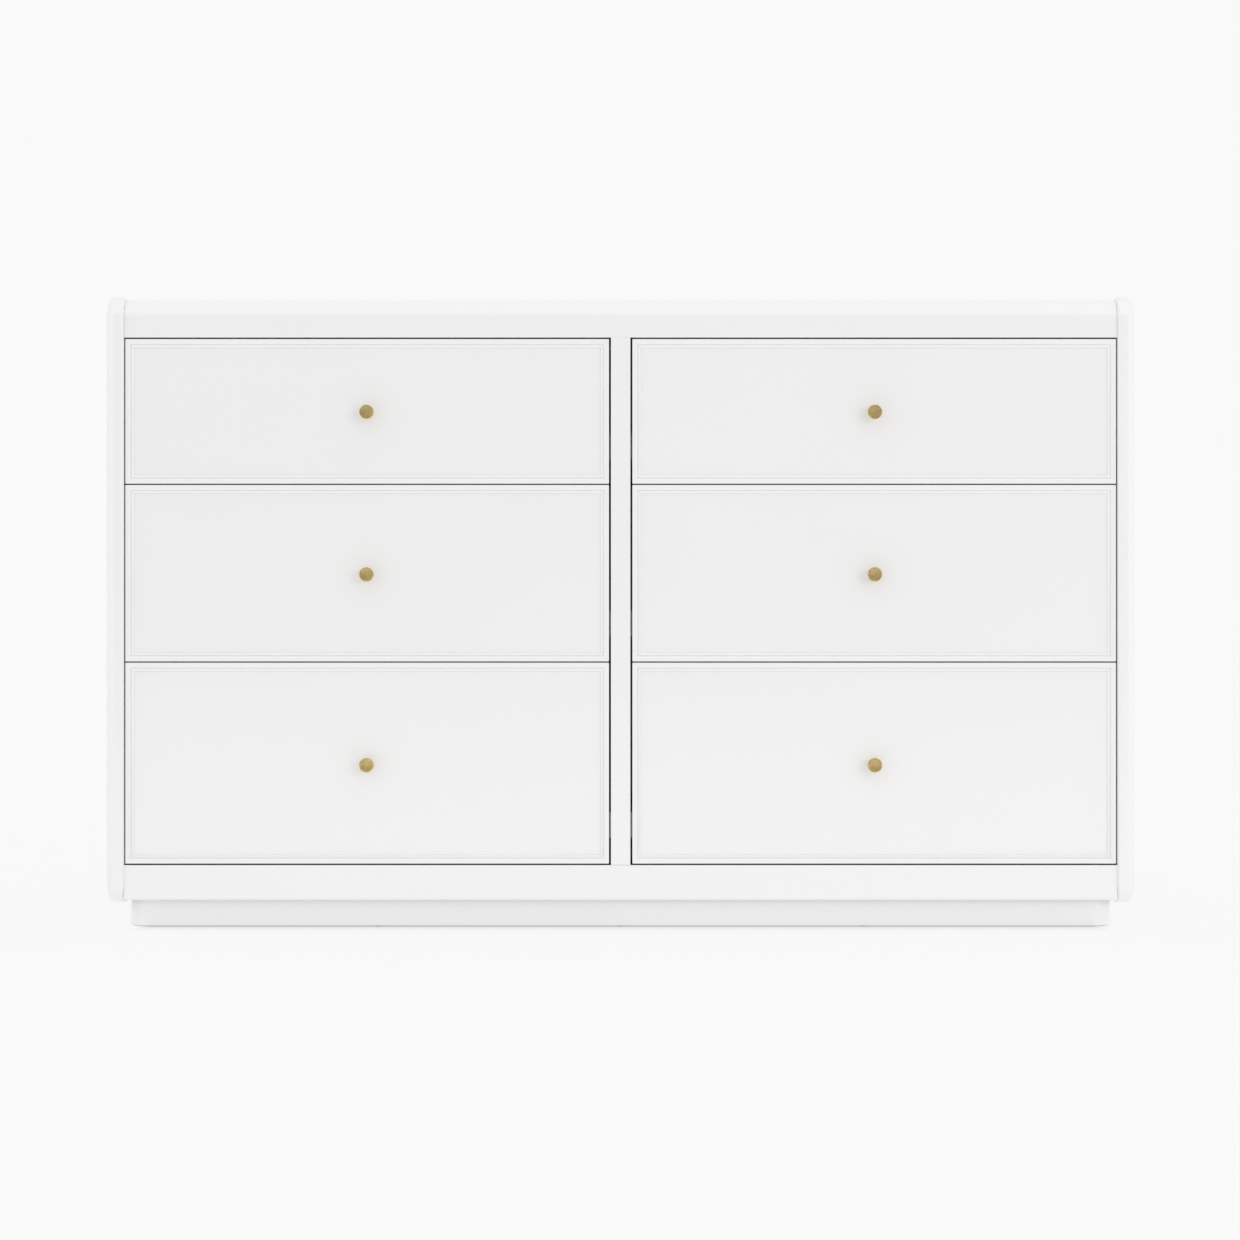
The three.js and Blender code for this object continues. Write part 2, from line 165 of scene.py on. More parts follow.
class FinishColours(bpy.types.PropertyGroup):
    """Colours of the finishes."""

    lacquer: colour("Lacquer", "White satin lacquer", (0.882, 0.882, 0.882))
    primer: colour("Primer", "Thin matt paint on the back board", (0.80, 0.79, 0.765))
    wood_light: colour("Wood, light", "Early wood of the drawer boxes", (0.71, 0.55, 0.36))
    wood_dark: colour("Wood, dark", "Late wood of the drawer boxes", (0.56, 0.40, 0.235))
    sheet_light: colour("Sheet, light", "Early wood of the drawer bottoms", (0.76, 0.62, 0.43))
    sheet_dark: colour("Sheet, dark", "Late wood of the drawer bottoms", (0.64, 0.48, 0.30))
    brass: colour("Brass", "Brushed brass of the knobs", (0.80, 0.62, 0.29))
    brass_deep: colour("Brass, deep", "Darker brush marks of the knobs", (0.60, 0.44, 0.185))
    zinc: colour("Zinc", "Bright zinc plate", (0.55, 0.57, 0.59))
    ball_steel: colour("Ball steel", "Polished steel balls", (0.66, 0.66, 0.65))


class StageSizes(bpy.types.PropertyGroup):
    """The camera, the light and the floor."""

    view_distance: length("View distance", "Camera to the front edges of the side panels", 4.0)
    view_width: length(
        "View width", "Width that the camera takes in at the front edges of the side panels", 1.711
    )
    view_height: length("View height", "Height of the level camera above the floor", 0.4267)
    view_aside: length("View aside", "How far the camera stands to the right of the middle", -0.0009)
    backdrop: number("Backdrop", "Brightness of the surroundings and of the lit floor", 0.947)
    floor_paint: number(
        "Floor paint", "Share of the floor's brightness that shadows can take away", 0.09, high=1.0
    )
    top_strength: number("Top strength", "Strength of the wide light overhead", 0.05)
    key_power: FloatProperty(
        name="Key power",
        description="Power of the soft lamp in front and to the right",
        default=26.0,
        min=0.0,
        unit="POWER",
    )
    key_size: length("Key size", "Width of the soft lamp", 1.7)
    room_tone: number("Room tone", "Grey of the curtain behind the camera", 0.15, high=1.0)
    floor_size: length("Floor size", "Width and depth of the floor", 120.0)


# --------------------------------------------------------------------------------------------- finishes


class Value:
    """A shader socket. Arithmetic on it adds Math nodes."""

    def __init__(self, finish, socket):
        self.finish = finish
        self.socket = socket

    def math(self, operation, first, second=0.0):
        return self.finish.node("ShaderNodeMath", {"operation": operation}, {0: first, 1: second})

    def __add__(self, other):
        return self.math("ADD", self, other)

    def __sub__(self, other):
        return self.math("SUBTRACT", self, other)

    def __rsub__(self, other):
        return self.math("SUBTRACT", other, self)

    def __mul__(self, other):
        return self.math("MULTIPLY", self, other)

    def __truediv__(self, other):
        return self.math("DIVIDE", self, other)

    def __pow__(self, other):
        return self.math("POWER", self, other)

    def __abs__(self):
        return self.math("ABSOLUTE", self)

    def sine(self):
        return self.math("SINE", self)

    def at_least(self, other):
        return self.math("MAXIMUM", self, other)


class Finish:
    """A material with one Principled shader."""

    def __init__(self, name, **constants):
        self.material = bpy.data.materials.new(name)
        self.material.use_nodes = True
        self.tree = self.material.node_tree
        self.shader = self.tree.nodes["Principled BSDF"]
        for socket, value in constants.items():
            self.shader.inputs[socket.replace("_", " ")].default_value = value

    def node(self, kind, settings, inputs, output=0):
        """Adds a node: its settings first, then a value or a link for each of its sockets."""
        made = self.tree.nodes.new(kind)
        for key, value in settings.items():
            setattr(made, key, value)
        for key, value in inputs.items():
            self.connect(made.inputs[key], value)
        return Value(self, made.outputs[output])

    def connect(self, socket, value):
        if isinstance(value, Value):
            self.tree.links.new(value.socket, socket)
        else:
            socket.default_value = value

    def drive(self, **sockets):
        """Links what changes over the surface to the shader."""
        for socket, value in sockets.items():
            self.connect(self.shader.inputs[socket.replace("_", " ")], value)

    def place(self, output="Object"):
        return self.node("ShaderNodeTexCoord", {}, {}, output)

    def noise(self, scale, squeeze=None, detail=2.0, roughness=0.5, distortion=0.0):
        """Noise over the piece, drawn out along each axis whose factor in squeeze is below 1."""
        place = self.place()
        if squeeze:
            place = self.node("ShaderNodeMapping", {}, {"Vector": place, "Scale": squeeze})
        sockets = {
            "Vector": place,
            "Scale": scale,
            "Detail": detail,
            "Roughness": roughness,
            "Distortion": distortion,
        }
        return self.node("ShaderNodeTexNoise", {}, sockets, "Fac")

    def blend(self, share, first, second):
        """Mixes two colours, from first at 0 to second at 1."""
        sockets = {0: share, 6: first, 7: second}
        return self.node("ShaderNodeMix", {"data_type": "RGBA"}, sockets, 2)

    def bump(self, height, depth):
        sockets = {"Height": height, "Distance": depth, "Strength": 1.0}
        return self.node("ShaderNodeBump", {}, sockets, "Normal")

    def span(self, value, low, high):
        """Takes 0..1 to low..high and holds it there."""
        sockets = {"Value": value, "To Min": low, "To Max": high}
        return self.node("ShaderNodeMapRange", {"clamp": True}, sockets)

    def part(self, vector, axis):
        """One part of a vector. axis is 0, 1 or 2."""
        return self.node("ShaderNodeSeparateXYZ", {}, {0: vector}, axis)


def rgba(value, share=1.0):
    return (*(channel * share for channel in value), 1.0)


def grey(level):
    return rgba((level,) * 3)


def lacquer_finish(colours):
    """Sprayed semi-gloss lacquer: a very faint orange peel, and a gloss that drifts a little."""
    finish = Finish("white_lacquer", Specular_IOR_Level=0.5, Coat_Roughness=0.15)
    cloud = finish.noise(5.0)
    peel = finish.noise(420.0, roughness=0.6)
    fibre = finish.noise(2600.0, detail=1.0)
    tone = finish.blend(cloud, rgba(colours.lacquer, 0.994), rgba(colours.lacquer, 1.006))
    finish.drive(
        Base_Color=tone,
        Roughness=finish.span(cloud * 0.7 + peel * 0.3, 0.27, 0.37),
        Coat_Weight=finish.span(peel, 0.85, 1.00),
        Normal=finish.bump(peel + fibre * 0.25, 0.000010),
    )
    return finish.material


def primer_finish(colours):
    """Thin matt paint on pressed hardboard: fine pimples and faint roller bands."""
    finish = Finish("back_primer", Specular_IOR_Level=0.25)
    pressed = finish.noise(900.0, detail=3.0, roughness=0.65)
    bands = finish.noise(2.0, (6.0, 1.0, 0.6))
    tone = finish.blend(bands, rgba(colours.primer, 0.965), rgba(colours.primer, 1.02))
    finish.drive(
        Base_Color=tone,
        Roughness=finish.span(pressed, 0.62, 0.82),
        Normal=finish.bump(pressed, 0.00006),
    )
    return finish.material


def wood_finish(name, light, dark, grain_axis, line_scale):
    """Lacquered wood whose grain runs along an axis, with darker pores where the end grain shows."""
    finish = Finish(name, Specular_IOR_Level=0.35)

    def with_grain(share):
        return [share if axis == grain_axis else 1.0 for axis in range(3)]

    fibres = finish.noise(line_scale * 6.0, with_grain(0.045), detail=4.0, roughness=0.65)
    figure = finish.noise(line_scale * 0.22, with_grain(0.16), detail=2.5, distortion=0.6)
    rings = (figure * 46.0).sine()
    lines = finish.span(rings * 0.5 + 0.5, 0.0, 1.0) ** 2.2
    share = finish.span(lines * 0.55 + fibres * 0.75 - 0.15, 0.0, 1.0)
    face_tone = finish.blend(share, rgba(light), rgba(dark))
    pores = finish.noise(line_scale * 16.0)
    end_tone = finish.blend(pores, rgba(dark, 0.62), rgba(dark, 1.04))
    facing_end = abs(finish.part(finish.place("Normal"), grain_axis))
    at_end = finish.span(facing_end * 4.0 - 2.6, 0.0, 1.0)
    finish.drive(
        Base_Color=finish.blend(at_end, face_tone, end_tone),
        Roughness=finish.span(fibres, 0.42, 0.60),
        Normal=finish.bump(fibres + lines * 0.4, 0.00005),
    )
    return finish.material


def brass_finish(colours):
    """Satin brass: fine brush marks across the face and slight darkening in patches."""
    finish = Finish("brushed_brass", Metallic=1.0)
    strokes = finish.noise(1.0, (90.0, 90.0, 3200.0), detail=3.0, roughness=0.6)
    patches = finish.noise(170.0, detail=3.0, roughness=0.6)
    share = finish.span((patches - 0.5) * 2.6 + (strokes - 0.5) * 1.2 + 0.45, 0.0, 1.0)
    finish.drive(
        Base_Color=finish.blend(share, rgba(colours.brass), rgba(colours.brass_deep)),
        Roughness=finish.span(strokes * 0.6 + patches * 0.4, 0.30, 0.50),
        Normal=finish.bump(strokes, 0.000010),
    )
    return finish.material


def zinc_finish(colours):
    """Rolled steel with bright zinc plate, streaked along the slide."""
    finish = Finish("zinc_plate", Metallic=1.0)
    streaks = finish.noise(1600.0, (1.0, 0.03, 1.0), detail=3.0)
    cloud = finish.noise(60.0)
    tone = finish.blend(cloud, rgba(colours.zinc, 0.86), rgba(colours.zinc, 1.1))
    finish.drive(
        Base_Color=tone,
        Roughness=finish.span(streaks * 0.6 + cloud * 0.4, 0.24, 0.44),
        Normal=finish.bump(streaks, 0.000006),
    )
    return finish.material


def ball_finish(colours):
    """Polished steel with a film of grease."""
    finish = Finish("ball_steel", Metallic=1.0)
    grease = finish.noise(500.0)
    tone = finish.blend(grease, rgba(colours.ball_steel, 0.8), rgba(colours.ball_steel))
    finish.drive(Base_Color=tone, Roughness=finish.span(grease, 0.10, 0.30))
    return finish.material


def floor_finish(stage, light_on_floor, footprint, corner):
    """Pale floor that glows enough to meet the backdrop, with a painted shadow that dims the glow just in
    front of the plinth and under it.
    """
    finish = Finish("studio_floor", Roughness=0.9, Specular_IOR_Level=0.0)
    paint = stage.floor_paint
    glow = stage.backdrop - paint * (stage.backdrop + light_on_floor)
    low, high = footprint
    past_corner = []
    for axis in (0, 1):
        half = (high[axis] - low[axis]) / 2
        from_middle = finish.part(finish.place(), axis) - (low[axis] + half)
        past_corner.append(abs(from_middle) - (half - corner))
    aside, ahead = (past.at_least(0.0) for past in past_corner)
    distance = (aside ** 2 + ahead ** 2) ** 0.5 - corner
    # Painted shadow under the plinth: the glow fades to nothing a short way in from the plinth's edges.
    under = finish.span(distance / -PAINTED_UNDER_SHADOW_REACH, 0.0, 1.0)
    # Painted shadow in front of the plinth: strongest at its edge, fading out ahead and quickly at its
    # sides.
    away = (aside / corner).at_least((past_corner[1] - corner) / PAINTED_SHADOW_REACH)
    painted_contact_shadow = finish.span(1 - away, 0.0, 1.0) ** 3 * PAINTED_SHADOW_DEPTH
    glow_left_by_painted_shadow = (1 - painted_contact_shadow) * (1 - under)
    speckle = finish.noise(3.0)
    finish.drive(
        Base_Color=finish.blend(speckle, grey(paint * 0.995), grey(paint * 1.005)),
        Emission_Color=finish.blend(glow_left_by_painted_shadow, grey(0.0), grey(1.0)),
    )
    finish.shader.inputs["Emission Strength"].default_value = glow
    return finish.material


FINISH_MAKERS = {
    "white_lacquer": lacquer_finish,
    "back_primer": primer_finish,
    "wood_along": lambda c: wood_finish("poplar_along", c.wood_light, c.wood_dark, 1, 60.0),
    "wood_across": lambda c: wood_finish("poplar_across", c.wood_light, c.wood_dark, 0, 60.0),
    "sheet_wood": lambda c: wood_finish("birch_sheet", c.sheet_light, c.sheet_dark, 0, 34.0),
    "brushed_brass": brass_finish,
    "zinc_plate": zinc_finish,
    "ball_steel": ball_finish,
}
finishes = {}


def finish_named(name):
    """The material of that name, made the first time it is asked for."""
    if name not in finishes:
        finishes[name] = FINISH_MAKERS[name](bpy.context.scene.dresser_colours)
    return finishes[name]


# ------------------------------------------------------------------------------------- mesh operations


def box_between(low, high):
    """A closed box between two corners."""
    low = Vector(low)
    high = Vector(high)
    bm = bmesh.new()
    made = bmesh.ops.create_cube(bm, size=1.0)["verts"]
    bmesh.ops.scale(bm, vec=high - low, verts=made)
    bmesh.ops.translate(bm, vec=(high + low) / 2, verts=made)
    return bm


def extruded(points, direction, start, end):
    """A closed solid: an outline in space, given at start, carried along direction as far as end."""
    bm = bmesh.new()
    face = bm.faces.new([bm.verts.new(point + direction * start) for point in points])
    made = bmesh.ops.extrude_face_region(bm, geom=[face])["geom"]
    moved = [item for item in made if isinstance(item, bmesh.types.BMVert)]
    bmesh.ops.translate(bm, vec=direction * (end - start), verts=moved)
    bmesh.ops.recalc_face_normals(bm, faces=bm.faces)
    return bm


def add_spun(bm, profile, centre, axis, steps):
    """Adds a turned solid. The profile is pairs of radius and height, from the axis round to the axis."""
    turn = Z.rotation_difference(axis).to_matrix().to_4x4()
    place = Matrix.Translation(centre) @ turn
    verts = [bm.verts.new(place @ Vector((radius, 0, height))) for radius, height in profile]
    edges = [bm.edges.new(pair) for pair in zip(verts, verts[1:])]
    before = set(bm.verts) - set(verts)
    bmesh.ops.spin(
        bm,
        geom=verts + edges,
        cent=centre,
        axis=axis,
        angle=math.tau,
        steps=steps,
        use_merge=True,
        use_duplicate=False,
    )
    mine = [vert for vert in bm.verts if vert not in before]
    bmesh.ops.remove_doubles(bm, verts=mine, dist=NEAR / 10)


def round_edges(bm, edges, radius, segments):
    bmesh.ops.bevel(
        bm,
        geom=list(edges),
        offset=radius,
        offset_type="OFFSET",
        affect="EDGES",
        segments=segments,
        profile=0.5,
        clamp_overlap=True,
        material=-1,
    )


def edges_where(bm, *tests):
    """The edges whose two ends both pass every test."""
    return [edge for edge in bm.edges if all(test(vert.co) for vert in edge.verts for test in tests)]


def edges_along(bm, direction, *tests):
    """The edges that run along a direction and whose ends pass every test."""
    found = []
    for edge in edges_where(bm, *tests):
        run = edge.verts[1].co - edge.verts[0].co
        if abs(run.normalized().dot(direction)) > 1 - NEAR:
            found.append(edge)
    return found


def on(axis, value):
    """A test: is the point on that plane? axis is 0, 1 or 2."""
    return lambda point: abs(point[axis] - value) < NEAR


def faces_on(bm, axis, value, low=-math.inf, high=math.inf):
    """The faces that lie in a plane and whose middle is between the levels low and high."""
    test = on(axis, value)
    flat = [face for face in bm.faces if all(test(vert.co) for vert in face.verts)]
    return [face for face in flat if low < face.calc_center_median().z < high]


def cut(bm, point, normal):
    """Splits the faces and edges that a plane crosses."""
    geom = bm.verts[:] + bm.edges[:] + bm.faces[:]
    bmesh.ops.bisect_plane(bm, geom=geom, dist=NEAR / 10, plane_co=point, plane_no=normal)


def pull(bm, faces, move):
    """Extrudes faces as one region, moves them and returns the moved vertices."""
    made = bmesh.ops.extrude_face_region(bm, geom=faces)["geom"]
    bmesh.ops.delete(bm, geom=faces, context="FACES")
    moved = [item for item in made if isinstance(item, bmesh.types.BMVert)]
    bmesh.ops.translate(bm, vec=move, verts=moved)
    return moved


def spread(low, high, count):
    """Evenly spaced places from low to high, both included."""
    return [low + (high - low) * index / (count - 1) for index in range(count)]


def make_piece(name, bm, finish, body, replaced=()):
    """Turns a bmesh into a piece of the dresser that rides on a body."""
    bmesh.ops.remove_doubles(bm, verts=bm.verts, dist=NEAR / 10)
    bmesh.ops.recalc_face_normals(bm, faces=bm.faces)
    mesh = bpy.data.meshes.new(name)
    bm.to_mesh(mesh)
    bm.free()
    mesh.shade_smooth()
    mesh.set_sharp_from_angle(angle=SHARP_ANGLE)
    mesh.materials.append(finish_named(finish))
    piece = bpy.data.objects.new(name, mesh)
    bpy.context.scene.collection.objects.link(piece)
    normals = piece.modifiers.new("weighted_normals", "WEIGHTED_NORMAL")
    normals.keep_sharp = True
    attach(piece, body)
    if replaced:
        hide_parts(*replaced)


def keep_node(node, finish):
    """Gives a frame node that is shown as it is its finish."""
    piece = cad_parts[node]
    piece.data.materials.clear()
    piece.data.materials.append(finish_named(finish))


# ------------------------------------------------------------------------------------------------- case


class DRESSER_OT_side_panels(bpy.types.Operator):
    """Make the two side panels, with their rounded front corners and edges"""

    bl_idname = "dresser.side_panels"
    bl_label = "Side panels"

    def execute(self, context):
        sizes = context.scene.dresser_case
        for side in SIDES:
            node = f"side_panel_{side}"
            low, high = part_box(node)
            inside, outside = (low.x, high.x) if side == "right" else (high.x, low.x)
            bm = box_between(low, high)
            round_edges(bm, edges_along(bm, X, on(1, low.y)), sizes.side_corner, segments=20)
            for face, radius, segments in ((outside, sizes.outer_arris, 12), (inside, sizes.inner_arris, 8)):
                at_back = edges_where(bm, on(1, high.y))
                rim = [edge for edge in edges_where(bm, on(0, face)) if edge not in at_back]
                round_edges(bm, rim, radius, segments)
            round_edges(bm, edges_where(bm, on(1, high.y)), sizes.eased_edge, segments=2)
            make_piece(f"{side}_side_panel", bm, "white_lacquer", "case", [node])
        return {"FINISHED"}


class DRESSER_OT_top_and_rail(bpy.types.Operator):
    """Make the top with its rounded nose, and the lower rail"""

    bl_idname = "dresser.top_and_rail"
    bl_label = "Top and lower rail"

    def execute(self, context):
        sizes = context.scene.dresser_case
        self.make_top(sizes)
        self.make_rail(sizes)
        keep_node("bottom_panel", "white_lacquer")
        return {"FINISHED"}

    def make_top(self, sizes):
        low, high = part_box("top_panel")
        low.x, high.x = self.between_sides(sizes.open_joint)
        inner_y = low.y + sizes.rail_thickness
        inner_z = high.z - sizes.top_thickness
        profile = [
            (low.y, low.z),
            (inner_y, low.z),
            (inner_y, inner_z),
            (high.y, inner_z),
            (high.y, high.z),
            (low.y, high.z),
        ]
        bm = extruded([Vector((0, y, z)) for y, z in profile], X, low.x, high.x)
        nose = edges_along(bm, X, on(1, low.y), on(2, high.z))
        round_edges(bm, nose, sizes.top_nose, segments=24)
        ends = edges_where(bm, on(0, low.x)) + edges_where(bm, on(0, high.x))
        lower_edge = edges_along(bm, X, on(2, low.z))
        round_edges(bm, ends + lower_edge, sizes.joint_edge, segments=3)
        make_piece("top_board", bm, "white_lacquer", "case", ["top_panel"])

    def between_sides(self, gap):
        """The two ends of a board that fills the width between the side panels, less a gap."""
        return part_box("side_panel_left")[1].x + gap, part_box("side_panel_right")[0].x - gap

    def make_rail(self, sizes):
        low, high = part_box("bottom_rail")
        low.x, high.x = self.between_sides(0.0)
        bm = box_between(low, high)
        front_bottom = edges_along(bm, X, on(1, low.y), on(2, low.z))
        round_edges(bm, front_bottom, sizes.rail_arris, segments=8)
        round_edges(bm, edges_along(bm, X, on(2, high.z)), sizes.joint_edge, segments=3)
        make_piece("lower_rail", bm, "white_lacquer", "case", ["bottom_rail"])


class DRESSER_OT_upright_and_back(bpy.types.Operator):
    """Make the centre upright, whose front edge is the stile, and the screwed-on back board"""

    bl_idname = "dresser.upright_and_back"
    bl_label = "Upright and back"

    SCREW_INSET = 0.012  # from the back board's edges
    SCREWS_ACROSS = 9
    SCREWS_UP = 5

    def execute(self, context):
        sizes = context.scene.dresser_case
        self.make_upright(sizes)
        self.make_back(context.scene.dresser_hardware, sizes)
        return {"FINISHED"}

    def make_upright(self, sizes):
        low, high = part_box("centre_partition")
        notch_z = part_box("top_panel")[0].z
        notch_y = low.y + sizes.rail_thickness
        profile = [
            (low.y, low.z),
            (high.y, low.z),
            (high.y, high.z),
            (notch_y, high.z),
            (notch_y, notch_z),
            (low.y, notch_z),
        ]
        bm = extruded([Vector((0, y, z)) for y, z in profile], X, low.x, high.x)
        round_edges(bm, edges_along(bm, Z, on(1, low.y)), sizes.eased_edge, segments=3)
        make_piece("centre_upright", bm, "white_lacquer", "case", ["centre_partition"])

    def make_back(self, hardware, sizes):
        low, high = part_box("back_panel")
        bm = box_between(low, high)
        round_edges(bm, bm.edges[:], sizes.eased_edge / 2, segments=2)
        make_piece("back_board", bm, "back_primer", "case", ["back_panel"])
        self.make_back_screws(hardware, low, high)

    def make_back_screws(self, hardware, low, high):
        """Screws round the back board's edges and up its middle, into the upright."""
        inset = self.SCREW_INSET
        columns = spread(low.x + inset, high.x - inset, self.SCREWS_ACROSS)
        rows = spread(low.z + inset, high.z - inset, self.SCREWS_UP)
        middle = columns[self.SCREWS_ACROSS // 2]
        bm = bmesh.new()
        for x in columns:
            for z in rows:
                if x in (columns[0], middle, columns[-1]) or z in (rows[0], rows[-1]):
                    add_screw(bm, Vector((x, high.y, z)), Y, hardware)
        make_piece("back_board_screws", bm, "zinc_plate", "case")


def add_screw(bm, seat, axis, hardware, scale=1.0):
    """A domed screw head with a recess, standing on seat and facing along axis."""
    radius = hardware.screw_head / 2 * scale
    height = hardware.screw_height * scale
    profile = [
        (0.0, 0.0),
        (radius, 0.0),
        (radius, height * 0.35),
        (radius * 0.86, height * 0.75),
        (radius * 0.55, height),
        (radius * 0.36, height),
        (radius * 0.22, height * 0.45),
        (0.0, height * 0.3),
    ]
    add_spun(bm, profile, seat, axis, SCREW_STEPS)


# ----------------------------------------------------------------------------------------------- plinth


class DRESSER_OT_plinth(bpy.types.Operator):
    """Make the recessed plinth, with its two bent front corners, standing on low glides"""

    bl_idname = "dresser.plinth"
    bl_label = "Plinth"

    GLIDES_ACROSS = 5
    GLIDES_DEEP = 3
    GLIDE_STEPS = 20
    CORNER_STEP = 0.25  # share of the corner's radius that its glide is set in

    def execute(self, context):
        sizes = context.scene.dresser_case
        self.make_front(sizes)
        for name in ("left", "right", "rear"):
            node = f"plinth_{name}"
            low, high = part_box(node)
            low.z += sizes.glide_height
            bm = box_between(low, high)
            self.ease_foot(bm, low.z, sizes)
            make_piece(f"{name}_plinth_board", bm, "white_lacquer", "case", [node])
        keep_node("plinth_brace", "white_lacquer")
        self.make_glides(sizes)
        return {"FINISHED"}

    def make_front(self, sizes):
        low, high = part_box("plinth_front")
        wall = sizes.plinth_thickness
        outline = [
            (low.x, high.y),
            (low.x, low.y),
            (high.x, low.y),
            (high.x, high.y),
            (high.x - wall, high.y),
            (high.x - wall, low.y + wall),
            (low.x + wall, low.y + wall),
            (low.x + wall, high.y),
        ]
        foot = low.z + sizes.glide_height
        bm = extruded([Vector((x, y, 0)) for x, y in outline], Z, foot, high.z)
        round_edges(bm, edges_along(bm, Z, on(1, low.y)), sizes.plinth_corner, segments=20)
        round_edges(bm, edges_along(bm, Z, on(1, low.y + wall)), sizes.plinth_corner - wall, segments=12)
        self.ease_foot(bm, foot, sizes)
        make_piece("front_plinth_board", bm, "white_lacquer", "case", ["plinth_front"])

    def ease_foot(self, bm, foot, sizes):
        round_edges(bm, edges_where(bm, on(2, foot)), sizes.eased_edge, segments=2)

    def make_glides(self, sizes):
        """Nail-on glides under the middle of the plinth boards, down to the floor."""
        low, high = plinth_box()
        inset = sizes.plinth_thickness / 2
        radius = sizes.glide_width / 2
        top = sizes.glide_height
        profile = [
            (0.0, 0.0),
            (radius * 0.8, 0.0),
            (radius, top * 0.3),
            (radius, top * 0.75),
            (radius * 0.9, top),
            (0.0, top),
        ]
        columns = spread(low.x + inset, high.x - inset, self.GLIDES_ACROSS)
        rows = spread(low.y + inset, high.y - inset, self.GLIDES_DEEP)
        bm = bmesh.new()
        for x in columns:
            for y in rows:
                on_side = x in (columns[0], columns[-1])
                if on_side or y in (rows[0], rows[-1]):
                    at_corner = on_side and y == rows[0]
                    step_in = sizes.plinth_corner * self.CORNER_STEP if at_corner else 0.0
                    seat = Vector((x - math.copysign(step_in, x), y + step_in, 0.0))
                    add_spun(bm, profile, seat, Z, self.GLIDE_STEPS)
        make_piece("plinth_glides", bm, "zinc_plate", "case")


def plinth_box():
    """The corners of the whole plinth."""
    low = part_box("plinth_front")[0]
    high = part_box("plinth_rear")[1]
    high.x = -low.x
    return low, high


# ---------------------------------------------------------------------------------------- drawer fronts


class DRESSER_OT_drawer_fronts(bpy.types.Operator):
    """Make the drawer fronts, each with a thin raised rim round a flat panel"""

    bl_idname = "dresser.drawer_fronts"
    bl_label = "Drawer fronts"

    SOFT_WIDTH = 0.2  # share of a slope's or a groove's width that its softened corner takes
    SOFT_DROP = 0.12  # share of the slope's drop that the softened corner takes
    BEAD_STEPS = 8

    def execute(self, context):
        sizes = context.scene.dresser_drawers
        for drawer in DRAWERS:
            node = f"{drawer}_drawer_front"
            bm = self.front(*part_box(node), sizes)
            make_piece(f"{drawer}_front_board", bm, "white_lacquer", f"{drawer}_drawer", [node])
        return {"FINISHED"}

    def front(self, low, high, sizes):
        """A board whose front face steps down to the panel, one inset ring for each bend."""
        bm = box_between(low, high)
        face = faces_on(bm, 1, low.y)[0]
        outer = [edge for edge in bm.edges if self.on_outside(edge, low, high)]
        depth = 0.0
        for width, level in self.moulding(sizes):
            bmesh.ops.inset_region(
                bm, faces=[face], thickness=width, depth=depth - level, use_even_offset=True
            )
            depth = level
        round_edges(bm, outer, sizes.rim_arris, segments=4)
        return bm

    def moulding(self, sizes):
        """Pairs of a step inwards and the depth it reaches: rim, fine groove, rounded bead, panel."""
        start = sizes.slope_width * self.SOFT_WIDTH
        narrow = sizes.quirk_width * self.SOFT_WIDTH
        rings = [
            (sizes.rim_width - sizes.slope_width, 0.0),
            (start, sizes.slope_drop * self.SOFT_DROP),
            (sizes.slope_width - start, sizes.slope_drop),
            (narrow, sizes.quirk_depth),
            (sizes.quirk_width - 2 * narrow, sizes.quirk_depth),
            (narrow, sizes.bead_drop + narrow),
            (narrow, sizes.bead_drop),
        ]
        bead_height = sizes.panel_recess - sizes.bead_drop
        return rings + quarter_rings(sizes.bead_width, bead_height, sizes.bead_drop, self.BEAD_STEPS)

    def on_outside(self, edge, low, high):
        """Is the edge one of the twelve edges of the board?"""
        planes = [on(axis, corner[axis]) for axis in range(3) for corner in (low, high)]
        return sum(all(plane(vert.co) for vert in edge.verts) for plane in planes) >= 2


def quarter_rings(width, drop, start, steps):
    """Pairs of a step inwards and a depth, round a quarter of an oval that ends dropping straight."""
    rings = []
    reach = 0.0
    for step in range(1, steps + 1):
        angle = math.pi / 2 * step / steps
        rings.append((width * (math.sin(angle) - reach), start + drop * (1 - math.cos(angle))))
        reach = math.sin(angle)
    return rings


# ----------------------------------------------------------------------------------------- drawer boxes


class DRESSER_OT_drawer_boxes(bpy.types.Operator):
    """Make the drawer boxes: four dovetailed boards and a bottom sheet each"""

    bl_idname = "dresser.drawer_boxes"
    bl_label = "Drawer boxes"

    def execute(self, context):
        sizes = context.scene.dresser_drawers
        for drawer in DRAWERS:
            box = DrawerBox(drawer, sizes)
            box.make_sides()
            box.make_front_board()
            box.make_back_board()
            box.make_bottom()
        return {"FINISHED"}


